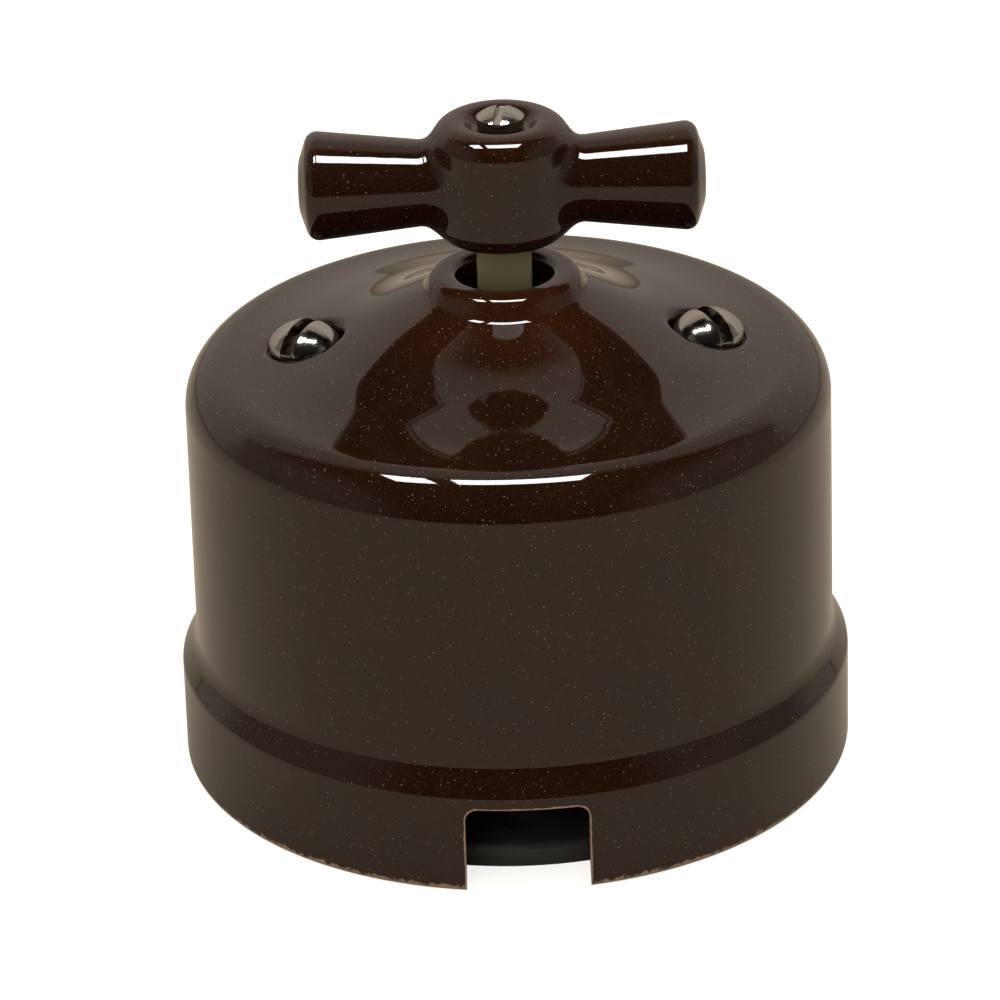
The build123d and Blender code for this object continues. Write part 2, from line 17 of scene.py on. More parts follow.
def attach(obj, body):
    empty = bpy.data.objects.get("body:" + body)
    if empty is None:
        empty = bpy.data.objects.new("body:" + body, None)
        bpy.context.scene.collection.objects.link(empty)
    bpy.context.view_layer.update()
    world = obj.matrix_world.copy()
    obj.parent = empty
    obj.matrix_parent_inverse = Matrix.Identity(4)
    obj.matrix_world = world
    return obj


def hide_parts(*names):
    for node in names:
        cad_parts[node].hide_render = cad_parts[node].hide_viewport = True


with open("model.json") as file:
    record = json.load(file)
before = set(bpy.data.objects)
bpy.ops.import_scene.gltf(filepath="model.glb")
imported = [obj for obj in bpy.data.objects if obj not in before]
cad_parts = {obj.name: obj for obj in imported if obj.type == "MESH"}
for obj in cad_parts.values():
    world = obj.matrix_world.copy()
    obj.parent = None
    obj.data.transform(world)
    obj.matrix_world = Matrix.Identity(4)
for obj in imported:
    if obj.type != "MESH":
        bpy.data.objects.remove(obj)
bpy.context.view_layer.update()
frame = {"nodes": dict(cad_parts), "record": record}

bl_info = {
    "name": "Porcelain two-way switch",
    "version": (1, 0, 0),
    "blender": (4, 5, 0),
    "location": "View3D > Sidebar > Switch",
    "description": "Glazed cover, winged knob, nickel screws and inner parts of a rotary switch",
    "category": "Object",
}

MM = 0.001
BODY_STILL = "housing"
BODY_TURNING = "turning_part"


def length(name, description, millimetres):
    """A size that a user would change, given here in millimetres."""
    return FloatProperty(
        name=name, description=description, default=millimetres * MM, unit="LENGTH", precision=5
    )


def angle(name, description, degrees):
    """An angle that a user would change, given here in degrees."""
    return FloatProperty(name=name, description=description, default=math.radians(degrees), subtype="ANGLE")


def colour(name, description, code):
    """A colour that a user would change, given as an sRGB hex value."""
    return FloatVectorProperty(
        name=name, description=description, default=linear(code), subtype="COLOR", size=3, min=0, max=1
    )


def linear(code):
    """Linear RGB of an sRGB hex value such as 3a1c0d."""
    parts = [int(code[i:i + 2], 16) / 255 for i in (0, 2, 4)]
    return tuple(p / 12.92 if p <= 0.04045 else ((p + 0.055) / 1.055) ** 2.4 for p in parts)


class CoverSettings(bpy.types.PropertyGroup):
    """Sizes of the porcelain cover."""

    rim_radius: length("Rim radius", "Outside of the band at the foot", 35.0)
    wall_radius: length("Wall radius", "Outside of the upright wall", 33.3)
    wall_draft: length("Wall draft", "How much wider the wall is above the band", 0.09)
    wall_thickness: length("Wall thickness", "Porcelain between the outside and the hollow", 3.35)
    band_height: length("Band height", "Top of the band at the foot", 10.7)
    cove_height: length("Cove height", "Where the band's cove meets the wall", 13.2)
    shoulder_height: length("Shoulder height", "Corner between the wall and the dome", 43.9)
    dome_height: length("Dome height", "Height of the dome at the dome radius", 44.75)
    dome_radius: length("Dome radius", "Where the dome starts to rise", 25.5)
    skirt_height: length("Skirt height", "Height of the collar's skirt at its radius", 47.3)
    skirt_radius: length("Skirt radius", "Where the dome sweeps up to the collar", 16.0)
    flare_height: length("Flare height", "Corner under the collar's lip", 51.2)
    flare_radius: length("Flare radius", "Corner under the collar's lip", 8.4)
    lip_height: length("Lip height", "Top of the collar", 53.2)
    lip_radius: length("Lip radius", "Outside of the collar's lip", 7.45)
    bore_radius: length("Bore radius", "Hole for the spindle", 4.85)
    ceiling_height: length("Ceiling height", "Underside of the dome", 41.3)
    well_offset: length("Well offset", "Distance of each screw well from the axis", 20.7)
    well_floor: length("Well floor", "Height of the floor of each screw well", 44.4)
    well_radius: length("Well radius", "Radius of each screw well", 3.9)
    well_edge: length("Well edge", "Rounding of the wells' rims", 0.9)
    screw_hole: length("Screw hole", "Radius of the hole in each well", 2.3)
    notch_width: length("Notch width", "Width of the cable notch", 12.55)
    notch_height: length("Notch height", "Height of the cable notch", 9.45)
    notch_corner: length("Notch corner", "Rounding of the notch's upper corners", 1.3)
    notch_offset: length("Notch offset", "Place of the notch beside the middle", 0.63)
    notch_edge: length("Notch edge", "Bare edge round the notch and along the foot", 0.16)
    foot_fillet: length("Foot fillet", "Rounding of the band's foot", 0.6)
    band_fillet: length("Band fillet", "Rounding of the band's top", 1.1)
    cove_fillet: length("Cove fillet", "Hollow between the band and the wall", 4.0)
    shoulder_fillet: length("Shoulder fillet", "Rounding between the wall and the dome", 5.0)
    dome_fillet: length("Dome fillet", "Hollow where the dome starts to rise", 40.0)
    skirt_fillet: length("Skirt fillet", "Hollow where the dome sweeps up to the collar", 30.0)
    flare_fillet: length("Flare fillet", "Rounding under the collar's lip", 1.8)
    lip_fillet: length("Lip fillet", "Rounding outside on the collar's lip", 1.5)
    bore_fillet: length("Bore fillet", "Rounding of the bore's upper edge", 0.9)
    ceiling_fillet: length("Ceiling fillet", "Hollow between the ceiling and the wall inside", 3.0)
    well_margin: length("Well margin", "Dome opened beyond each well's radius", 1.6)
    hole_margin: length("Hole margin", "Ceiling opened beyond each screw hole", 1.0)
    floor_edge: length("Floor edge", "Rounding between each well's wall and floor", 0.3)


class KnobSettings(bpy.types.PropertyGroup):
    """Sizes of the porcelain knob."""

    bottom: length("Bottom", "Underside of the hub", 57.25)
    hub_radius: length("Hub radius", "Outside of the hub", 7.12)
    hub_height: length("Hub height", "Height of the hub", 12.55)
    hub_foot: length("Hub foot", "Rounding at the hub's foot", 2.0)
    hub_top: length("Hub top", "Rounding at the hub's top", 2.4)
    crater_radius: length("Crater radius", "Opening of the crater for the screw", 3.95)
    crater_floor: length("Crater floor", "Radius of the crater's floor", 2.9)
    crater_depth: length("Crater depth", "Depth of the crater", 1.0)
    crater_lip: length("Crater lip", "Rounding of the crater's lip", 0.9)
    wing_rise: length("Wing rise", "Height of the wings' axis above the hub's underside", 5.8)
    wing_reach: length("Wing reach", "Distance of the wings' ends from the axis", 20.65)
    wing_end_radius: length("Wing end radius", "Radius of the wings at their ends", 5.65)
    wing_neck_radius: length("Wing neck radius", "Radius of the wings at the hub", 4.4)
    wing_neck: length("Wing neck", "Distance of the necks from the axis", 8.0)
    wing_end_dome: length("Wing end dome", "How far the wings' ends bulge", 1.1)
    wing_end_flat: length("Wing end flat", "Flat middle of the wings' ends", 2.4)
    blend: length("Blend", "Reach of the soft blend between hub and wings", 1.6)
    grain: length("Mesh grain", "Spacing of the finished mesh's vertices", 0.24)
    face_fillet: length("Face fillet", "Rounding between the wings' flat middles and their bulge", 4.0)
    end_fillet: length("End fillet", "Rounding at the wings' ends", 1.3)
    waist_fillet: length("Waist fillet", "Hollow of the wings at their necks", 8.0)


class ScrewSettings(bpy.types.PropertyGroup):
    """Sizes of the screws' heads."""

    head_radius: length("Head radius", "Cover screws", 3.7)
    head_side: length("Head side", "Height of the upright edge, cover screws", 1.5)
    head_dome: length("Head dome", "Height of the dome, cover screws", 2.1)
    shank_radius: length("Shank radius", "Cover screws", 1.95)
    shank_length: length("Shank length", "Cover screws", 11.0)
    slot_width: length("Slot width", "Cover screws", 1.4)
    slot_depth: length("Slot depth", "Cover screws", 2.3)
    slot_angle: angle("Slot angle", "Turn of the cover screws' slots from the line between them", 58.0)
    knob_head_seat: length("Knob screw seat", "Height of the knob screw's seat", 69.3)
    knob_head_radius: length("Knob screw head radius", "Knob screw", 2.43)
    knob_head_side: length("Knob screw head side", "Height of the upright edge, knob screw", 0.8)
    knob_head_dome: length("Knob screw head dome", "Height of the dome, knob screw", 0.9)
    knob_shank_radius: length("Knob screw shank radius", "Knob screw", 1.45)
    knob_shank_length: length("Knob screw shank length", "Knob screw", 15.1)
    knob_slot_width: length("Knob screw slot width", "Knob screw", 0.9)
    knob_slot_depth: length("Knob screw slot depth", "Knob screw", 0.9)
    knob_slot_angle: angle("Knob screw slot angle", "Turn of the slot from the wings", 80.0)
    edge: length("Edge", "Rounding of the heads' edges", 0.12)


class FinishSettings(bpy.types.PropertyGroup):
    """Colours of the finishes."""

    glaze_deep: colour("Glaze, thick", "Brown glaze where it lies thick", "130904")
    glaze_warm: colour("Glaze, thin", "Brown glaze where it thins over an edge", "2c1206")
    glaze_speck: colour("Glaze specks", "Crystals in the glaze", "c4b6a8")
    bare_clay: colour("Bare clay", "Porcelain where the glaze was wiped off", "8d7460")
    nickel: colour("Nickel", "Polished nickel plate", "b9b4ab")
    ivory: colour("Ivory", "Spindle moulding", "6b6545")
    black: colour("Black", "Base and plate moulding", "333331")
    white: colour("White", "Bush, cap and cam mouldings", "d8d4c6")
    brass: colour("Brass", "Contact strip and cages", "c59a4b")
    zinc: colour("Zinc", "Plated inner screws", "a5a9ad")
    spring_steel: colour("Spring steel", "Blued springs", "6f7478")
    floor: colour("Floor", "Floor under the switch", "ad9f8c")


class StageSettings(bpy.types.PropertyGroup):
    """Camera and lights."""

    aim_height: length("Aim height", "Height of the point that the camera was set up on", 30.0)
    distance: length("Camera distance", "From that point to the camera", 600.6)
    elevation: angle("Camera elevation", "Above the horizon", 26.01)
    roll: angle("Camera roll", "Turn of the camera about its line of sight", 1.712)
    aim_left: length("Aim left", "How far left of that point the camera looks", 1.083)
    aim_down: length("Aim down", "How far below that point the camera looks", 2.735)
    lens: FloatProperty(name="Lens", description="Focal length for a 36 mm sensor, in mm", default=208.06)
    card_height: length("Lamp card height", "Height of the overhead cards above the floor", 140.0)
    card_front: length("Lamp card front", "Place of the cards' front edges", -26.0)
    card_back: length("Lamp card back", "Place of the cards' back edges", -4.0)
    card_power: FloatProperty(name="Lamp card power", description="Brightness in reflections", default=26.0)
    card_second: FloatProperty(
        name="Second bounce", description="Share of that brightness after the first bounce", default=0.1
    )
    floor_size: length("Floor size", "Half of the floor's side", 3000.0)
    floor_lift: FloatProperty(name="Floor lift", description="Brightness that the camera adds", default=0.8)


SETTINGS = (
    ("switch_cover", CoverSettings),
    ("switch_knob", KnobSettings),
    ("switch_screws", ScrewSettings),
    ("switch_finish", FinishSettings),
    ("switch_stage", StageSettings),
)


def rounded(corners, steps=8):
    """Points of an outline whose corners are (x, y) or (x, y, fillet radius), with arcs at the fillets."""
    points = []
    for i, corner in enumerate(corners):
        here = Vector(corner[:2])
        radius = corner[2] if len(corner) == 3 else 0
        if not radius:
            points.append(tuple(here))
            continue
        before = (Vector(corners[i - 1][:2]) - here).normalized()
        after = (Vector(corners[(i + 1) % len(corners)][:2]) - here).normalized()
        half = before.angle(after) / 2
        centre = here + (before + after).normalized() * radius / math.sin(half)
        start = here + before * radius / math.tan(half) - centre
        turn = math.pi - 2 * half
        sense = 1 if before.x * after.y - before.y * after.x < 0 else -1
        count = max(3, round(steps * (1 + turn)))
        for k in range(count + 1):
            spot = start.copy()
            spot.rotate(Matrix.Rotation(sense * turn * k / count, 2))
            points.append(tuple(centre + spot))
    return points


def spin_outline(bm, outline, steps, axis="Z", height=0.0):
    """Turns an outline of (radius, place along the axis) once round the Z axis, or round X at a height."""
    if axis == "Z":
        verts = [bm.verts.new((r, 0, z)) for r, z in outline]
        spin_axis = (0, 0, 1)
    else:
        verts = [bm.verts.new((x, 0, height + r)) for r, x in outline]
        spin_axis = (1, 0, 0)
    edges = [bm.edges.new((verts[i - 1], verts[i])) for i in range(len(verts))]
    bmesh.ops.spin(
        bm, geom=verts + edges, cent=(0, 0, height), axis=spin_axis, angle=2 * math.pi, steps=steps,
        use_merge=True,
    )
    same_spot = 1e-7
    bmesh.ops.remove_doubles(bm, verts=bm.verts, dist=same_spot)


def add_piece(name, bm, body, material):
    """A finished mesh as an object that rides on a body."""
    bmesh.ops.recalc_face_normals(bm, faces=bm.faces)
    for face in bm.faces:
        face.smooth = True
    mesh = bpy.data.meshes.new(name)
    bm.to_mesh(mesh)
    bm.free()
    piece = bpy.data.objects.new(name, mesh)
    bpy.context.scene.collection.objects.link(piece)
    piece.data.materials.append(material)
    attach(piece, body)
    return piece


def sharpen(bm, limit):
    """Marks edges that turn by more than the limit as sharp."""
    for edge in bm.edges:
        if len(edge.link_faces) == 2:
            edge.smooth = edge.calc_face_angle() < limit


def settle(piece, name):
    """Replaces a piece's mesh by what its modifiers make of it."""
    bpy.context.view_layer.update()
    evaluated = piece.evaluated_get(bpy.context.evaluated_depsgraph_get())
    mesh = bpy.data.meshes.new_from_object(evaluated)
    mesh.name = name
    piece.modifiers.clear()
    piece.data = mesh


def carve(bm, cutter):
    """Cuts one closed bmesh out of another and returns the result as a new bmesh."""
    made = []
    for source in (bm, cutter):
        bmesh.ops.recalc_face_normals(source, faces=source.faces)
        mesh = bpy.data.meshes.new("carving")
        source.to_mesh(mesh)
        source.free()
        piece = bpy.data.objects.new("carving", mesh)
        bpy.context.scene.collection.objects.link(piece)
        made.append(piece)
    modifier = made[0].modifiers.new("carve", "BOOLEAN")
    modifier.operation = "DIFFERENCE"
    modifier.solver = "EXACT"
    modifier.object = made[1]
    settle(made[0], "carved")
    result = bmesh.new()
    result.from_mesh(made[0].data)
    for piece in made:
        bpy.data.objects.remove(piece)
    return result


def cover_section(cover):
    """Half section of the cover as a closed outline of (radius, height)."""
    inner = cover.wall_radius - cover.wall_thickness
    corners = [
        (inner, 0),
        (cover.rim_radius, 0, cover.foot_fillet),
        (cover.rim_radius, cover.band_height, cover.band_fillet),
        (cover.wall_radius + cover.wall_draft, cover.cove_height, cover.cove_fillet),
        (cover.wall_radius, cover.shoulder_height, cover.shoulder_fillet),
        (cover.dome_radius, cover.dome_height, cover.dome_fillet),
        (cover.skirt_radius, cover.skirt_height, cover.skirt_fillet),
        (cover.flare_radius, cover.flare_height, cover.flare_fillet),
        (cover.lip_radius, cover.lip_height, cover.lip_fillet),
        (cover.bore_radius, cover.lip_height, cover.bore_fillet),
        (cover.bore_radius, cover.ceiling_height),
        (inner, cover.ceiling_height, cover.ceiling_fillet),
    ]
    return rounded(corners, steps=14)


def divided(outline, spacing, low, high):
    """The same outline with extra points where a stretch between two radii is longer than the spacing."""
    points = []
    for i, end in enumerate(outline):
        start = outline[i - 1]
        span = math.dist(start, end)
        inside = low < start[0] < high and low < end[0] < high
        count = max(1, round(span / spacing)) if inside else 1
        for k in range(1, count + 1):
            points.append(tuple(a + (b - a) * k / count for a, b in zip(start, end)))
    return points


def outside_height(outline, radius):
    """Height of the outer surface of a half section at a radius."""
    best = 0.0
    for i, end in enumerate(outline):
        start = outline[i - 1]
        low, high = sorted((start[0], end[0]))
        if low <= radius <= high and high > low:
            share = (radius - start[0]) / (end[0] - start[0])
            best = max(best, start[1] + share * (end[1] - start[1]))
    return best


def ring_inwards(bm, edges, centre_x, place):
    """Extrudes a loop of edges and moves each new vertex to place(direction), measured from a well's axis."""
    made = bmesh.ops.extrude_edge_only(bm, edges=edges)["geom"]
    for vert in (v for v in made if isinstance(v, bmesh.types.BMVert)):
        direction = Vector((vert.co.x - centre_x, vert.co.y)).normalized()
        vert.co = place(direction)
    new_edges = [e for e in made if isinstance(e, bmesh.types.BMEdge) and all(v in made for v in e.verts)]
    return [e for e in new_edges if e.is_boundary]


def sink_well(bm, cover, outline, side):
    """Opens a round well with a soft rim in the dome. The screw hole's wall is made where the ceiling has
    faces near it to open. With these sizes it has none, so the hole stays an open ring at the well's floor,
    which the screw's head hides, and the ceiling under it is closed."""
    centre_x = side * cover.well_offset
    middle = (cover.well_floor + cover.ceiling_height) / 2
    clear = cover.well_radius + cover.well_margin
    hole_clear = cover.screw_hole + cover.hole_margin
    upper = []
    lower = []
    for face in bm.faces:
        spot = face.calc_center_median()
        reach = math.hypot(spot.x - centre_x, spot.y)
        if spot.z > middle and reach < clear:
            upper.append(face)
        elif cover.ceiling_height - MM < spot.z <= middle and reach < hole_clear:
            lower.append(face)
    bmesh.ops.delete(bm, geom=upper + lower, context="FACES")
    edges = [e for e in bm.edges if e.is_boundary and (e.verts[0].co.x * side) > 0]
    ring = [e for e in edges if e.verts[0].co.z > middle]
    under = [e for e in edges if e.verts[0].co.z <= middle]

    def on_dome(direction, reach):
        x = centre_x + direction.x * reach
        y = direction.y * reach
        return Vector((x, y, outside_height(outline, math.hypot(x, y))))

    def at(direction, reach, height):
        return Vector((centre_x + direction.x * reach, direction.y * reach, height))

    edge = cover.well_edge
    floor = cover.well_floor
    soft = cover.floor_edge
    start = cover.well_radius + edge
    deepest_share = 0.9

    def sunk(direction, reach, share):
        """A point of the rim's rounding, which is flatter where the well is shallow."""
        level = on_dome(direction, reach)
        level.z -= share * min(edge, deepest_share * (level.z - floor - soft))
        return level

    # Three rings on the dome lead up to the rim, so that it shades smoothly
    for lead in (0.7 * MM, 0.25 * MM, 0.0):
        ring = ring_inwards(bm, ring, centre_x, lambda d, r=start + lead: on_dome(d, r))
    arc_steps = 5
    for k in range(1, arc_steps + 1):
        turn = math.pi / 2 * k / arc_steps
        reach = start - edge * math.sin(turn)
        drop = 1 - math.cos(turn)
        ring = ring_inwards(bm, ring, centre_x, lambda d, r=reach, h=drop: sunk(d, r, h))
    # Half way round the floor's edge, about 1 - cos(45 degrees) of it from either side
    halfway = 0.3 * soft
    for reach, height in (
        (cover.well_radius, floor + soft),
        (cover.well_radius - halfway, floor + halfway),
        (cover.well_radius - soft, floor),
        (cover.screw_hole, floor),
    ):
        ring = ring_inwards(bm, ring, centre_x, lambda d, r=reach, h=height: at(d, r, h))
    under = ring_inwards(bm, under, centre_x, lambda d: at(d, cover.screw_hole, cover.ceiling_height))
    bmesh.ops.bridge_loops(bm, edges=ring + under)


def cut_notch(bm, cover):
    """Cuts the cable notch through the band and the wall."""
    block = bmesh.new()
    bmesh.ops.create_cube(block, size=1)
    size = (cover.notch_width, cover.rim_radius, 2 * cover.notch_height)
    bmesh.ops.scale(block, verts=block.verts, vec=size)
    place = (cover.notch_offset, -cover.rim_radius, 0)
    bmesh.ops.translate(block, verts=block.verts, vec=place)
    upper = [e for e in block.edges if all(v.co.z > 0 for v in e.verts)]
    corners = [e for e in upper if abs(e.verts[0].co.x - e.verts[1].co.x) < MM]
    bmesh.ops.bevel(
        block, geom=corners, offset=cover.notch_corner, offset_type="OFFSET", segments=6, profile=0.5,
        affect="EDGES", material=-1,
    )
    return carve(bm, block)


def add_node(tree, kind, settings=None, links=None):
    """Adds a node, sets its properties and inputs, and links its inputs from (node, output) pairs."""
    node = tree.nodes.new(kind)
    for key, value in (settings or {}).items():
        if isinstance(key, str) and hasattr(node, key):
            setattr(node, key, value)
        else:
            node.inputs[key].default_value = value
    for key, (source, output) in (links or {}).items():
        tree.links.new(source.outputs[output], node.inputs[key])
    return node


def new_material(name):
    """An empty node material with its output and Object coordinates."""
    material = bpy.data.materials.new(name)
    material.use_nodes = True
    tree = material.node_tree
    tree.nodes.clear()
    output = add_node(tree, "ShaderNodeOutputMaterial")
    place = add_node(tree, "ShaderNodeTexCoord")
    return material, tree, output, place


def rgba(value):
    """A colour with full alpha."""
    return (*value, 1.0)


def bare_edge(tree, place, cover):
    """Mask of the dry edge round the cable notch and along the foot, wiped unevenly: 1 where it is bare."""
    corner = cover.notch_corner
    parts = add_node(tree, "ShaderNodeSeparateXYZ", None, {"Vector": (place, "Object")})
    centred = add_node(
        tree, "ShaderNodeMath", {"operation": "SUBTRACT", 1: cover.notch_offset}, {0: (parts, "X")}
    )
    across = add_node(tree, "ShaderNodeMath", {"operation": "ABSOLUTE"}, {0: (centred, "Value")})
    beside = add_node(
        tree, "ShaderNodeMath", {"operation": "SUBTRACT", 1: cover.notch_width / 2 - corner},
        {0: (across, "Value")},
    )
    above = add_node(
        tree, "ShaderNodeMath", {"operation": "SUBTRACT", 1: cover.notch_height - corner}, {0: (parts, "Z")}
    )
    pair = add_node(tree, "ShaderNodeCombineXYZ", None, {"X": (beside, "Value"), "Y": (above, "Value")})
    outside = add_node(
        tree, "ShaderNodeVectorMath", {"operation": "MAXIMUM", 1: (0, 0, 0)}, {0: (pair, "Vector")}
    )
    far = add_node(tree, "ShaderNodeVectorMath", {"operation": "LENGTH"}, {0: (outside, "Vector")})
    gap = add_node(tree, "ShaderNodeMath", {"operation": "SUBTRACT", 1: corner}, {0: (far, "Value")})
    front = add_node(tree, "ShaderNodeMath", {"operation": "GREATER_THAN", 1: 0.0}, {0: (parts, "Y")})
    notch = add_node(tree, "ShaderNodeMath", {"operation": "ADD"}, {0: (gap, "Value"), 1: (front, "Value")})
    # The foot is bare four times as high as the notch's edge is wide
    foot = add_node(tree, "ShaderNodeMath", {"operation": "MULTIPLY", 1: 0.25}, {0: (parts, "Z")})
    nearest = add_node(
        tree, "ShaderNodeMath", {"operation": "MINIMUM"}, {0: (notch, "Value"), 1: (foot, "Value")}
    )
    uneven = add_node(
        tree, "ShaderNodeTexNoise", {"Scale": 1 / (0.8 * MM), "Detail": 3.0}, {"Vector": (place, "Object")}
    )
    reach = add_node(
        tree, "ShaderNodeMath", {"operation": "MULTIPLY", 1: 2 * cover.notch_edge}, {0: (uneven, "Fac")}
    )
    left = add_node(
        tree, "ShaderNodeMath", {"operation": "SUBTRACT"}, {0: (reach, "Value"), 1: (nearest, "Value")}
    )
    return add_node(
        tree, "ShaderNodeMapRange", {"From Min": -0.03 * MM, "From Max": 0.05 * MM},
        {"Value": (left, "Value")},
    )


def glazed_porcelain(name, finish, warm_from, warm_to, cover=None):
    """Porcelain dipped in brown glaze and fired: a deep wet gloss with a faint orange peel, a warmer
    brown where the glaze thins on high edges, and a dust of pale crystals. The cover's foot is bare."""
    material, tree, output, place = new_material(name)
    clouds = add_node(
        tree, "ShaderNodeTexNoise", {"Scale": 1 / (7 * MM), "Detail": 3.0, "Roughness": 0.6},
        {"Vector": (place, "Object")},
    )
    split = add_node(tree, "ShaderNodeSeparateXYZ", None, {"Vector": (place, "Object")})
    thin = add_node(
        tree, "ShaderNodeMapRange", {"From Min": warm_from, "From Max": warm_to}, {"Value": (split, "Z")}
    )
    warmth = add_node(
        tree, "ShaderNodeMath", {"operation": "MULTIPLY_ADD", 1: 0.55},
        {0: (clouds, "Fac"), 2: (thin, "Result")},
    )
    body = add_node(
        tree, "ShaderNodeMix", {"data_type": "RGBA", 6: rgba(finish.glaze_deep), 7: rgba(finish.glaze_warm)},
        {0: (warmth, "Value")},
    )
    # Crystals up to 0.12 mm across, the paler the rarer, one to a cell of 0.36 mm at most
    cells = add_node(
        tree, "ShaderNodeTexVoronoi", {"Scale": 1 / (0.36 * MM)}, {"Vector": (place, "Object")}
    )
    near = add_node(
        tree, "ShaderNodeMapRange", {"From Min": 0.17, "From Max": 0.08}, {"Value": (cells, "Distance")}
    )
    lot = add_node(tree, "ShaderNodeSeparateColor", None, {"Color": (cells, "Color")})
    chosen = add_node(
        tree, "ShaderNodeMapRange", {"From Min": 0.66, "From Max": 1.2}, {"Value": (lot, "Red")}
    )
    crystal = add_node(
        tree, "ShaderNodeMath", {"operation": "MULTIPLY"}, {0: (near, "Result"), 1: (chosen, "Result")}
    )
    # Dust of 0.05 mm, drawn 0.12 mm coarse so that it shows
    dust = add_node(
        tree, "ShaderNodeTexNoise", {"Scale": 1 / (0.12 * MM), "Detail": 1.0}, {"Vector": (place, "Object")}
    )
    haze = add_node(
        tree, "ShaderNodeMapRange", {"From Min": 0.62, "From Max": 0.78, "To Max": 0.05},
        {"Value": (dust, "Fac")},
    )
    speck = add_node(
        tree, "ShaderNodeMath", {"operation": "MAXIMUM"}, {0: (crystal, "Value"), 1: (haze, "Result")}
    )
    tint = add_node(
        tree, "ShaderNodeMix", {"data_type": "RGBA", 7: rgba(finish.glaze_speck)},
        {0: (speck, "Value"), 6: (body, 2)},
    )
    wet = 0.04
    dry = 0.5
    gloss = {"Roughness": wet, "IOR": 1.5}
    links = {}
    if cover:
        bare = bare_edge(tree, place, cover)
        tint = add_node(
            tree, "ShaderNodeMix", {"data_type": "RGBA", 7: rgba(finish.bare_clay)},
            {0: (bare, "Result"), 6: (tint, 2)},
        )
        dull = add_node(
            tree, "ShaderNodeMapRange", {"To Min": wet, "To Max": dry}, {"Value": (bare, "Result")}
        )
        gloss = {"IOR": 1.5}
        links = {"Roughness": (dull, "Result")}
    peel = add_node(
        tree, "ShaderNodeTexNoise", {"Scale": 1 / (2.2 * MM), "Detail": 2.0}, {"Vector": (place, "Object")}
    )
    bump = add_node(
        tree, "ShaderNodeBump", {"Strength": 0.35, "Distance": 0.012 * MM}, {"Height": (peel, "Fac")}
    )
    shader = add_node(
        tree, "ShaderNodeBsdfPrincipled", gloss,
        {"Base Color": (tint, 2), "Normal": (bump, "Normal"), **links},
    )
    tree.links.new(shader.outputs[0], output.inputs["Surface"])
    return material


def worked_metal(name, tone, roughness, line_spacing, depth):
    """Metal with fine lines from rolling or polishing, drawn as coarse as they need to show."""
    material, tree, output, place = new_material(name)
    stretch = add_node(tree, "ShaderNodeMapping", {"Scale": (1.0, 1.0, 0.15)}, {"Vector": (place, "Object")})
    lines = add_node(
        tree, "ShaderNodeTexNoise", {"Scale": 1 / line_spacing, "Detail": 4.0, "Roughness": 0.7},
        {"Vector": (stretch, "Vector")},
    )
    dark = tuple(0.72 * part for part in tone)
    body = add_node(
        tree, "ShaderNodeMix", {"data_type": "RGBA", 6: rgba(tone), 7: rgba(dark)}, {0: (lines, "Fac")}
    )
    dull = add_node(
        tree, "ShaderNodeMapRange", {"To Min": 0.7 * roughness, "To Max": 1.4 * roughness},
        {"Value": (lines, "Fac")},
    )
    bump = add_node(tree, "ShaderNodeBump", {"Strength": 0.4, "Distance": depth}, {"Height": (lines, "Fac")})
    shader = add_node(
        tree, "ShaderNodeBsdfPrincipled", {"Metallic": 1.0},
        {"Base Color": (body, 2), "Roughness": (dull, "Result"), "Normal": (bump, "Normal")},
    )
    tree.links.new(shader.outputs[0], output.inputs["Surface"])
    return material


def moulding(name, tone, roughness, shift):
    """Moulded plastic: satin, with a fine even texture from the mould and slightly uneven colour."""
    material, tree, output, place = new_material(name)
    cloud = add_node(
        tree, "ShaderNodeTexNoise", {"Scale": 1 / (3 * MM), "Detail": 2.0}, {"Vector": (place, "Object")}
    )
    darker = tuple(shift * part for part in tone)
    body = add_node(
        tree, "ShaderNodeMix", {"data_type": "RGBA", 6: rgba(tone), 7: rgba(darker)}, {0: (cloud, "Fac")}
    )
    grain = add_node(
        tree, "ShaderNodeTexNoise", {"Scale": 1 / (0.25 * MM), "Detail": 2.0}, {"Vector": (place, "Object")}
    )
    bump = add_node(
        tree, "ShaderNodeBump", {"Strength": 0.3, "Distance": 0.01 * MM}, {"Height": (grain, "Fac")}
    )
    shader = add_node(
        tree, "ShaderNodeBsdfPrincipled", {"Roughness": roughness, "IOR": 1.5},
        {"Base Color": (body, 2), "Normal": (bump, "Normal")},
    )
    tree.links.new(shader.outputs[0], output.inputs["Surface"])
    return material


def distance_to_outline(points, outline):
    """Signed distance of (radius, place) points to a closed outline that starts and ends on the axis."""
    start = np.array(outline)
    end = np.roll(start, -1, axis=0)
    span = end - start
    inside = np.zeros(len(points), bool)
    best = np.full(len(points), np.inf)
    on_axis = 1e-9
    least_square = 1e-20
    for a, b, d in zip(start, end, span):
        rises = (a[1] > points[:, 1]) != (b[1] > points[:, 1])
        if d[1]:
            inside ^= rises & (points[:, 0] < a[0] + (points[:, 1] - a[1]) * d[0] / d[1])
        if a[0] < on_axis and b[0] < on_axis:
            continue
        share = np.clip(((points - a) @ d) / max(d @ d, least_square), 0, 1)
        best = np.minimum(best, np.hypot(*(points - a - share[:, None] * d).T))
    return np.where(inside, -best, best)


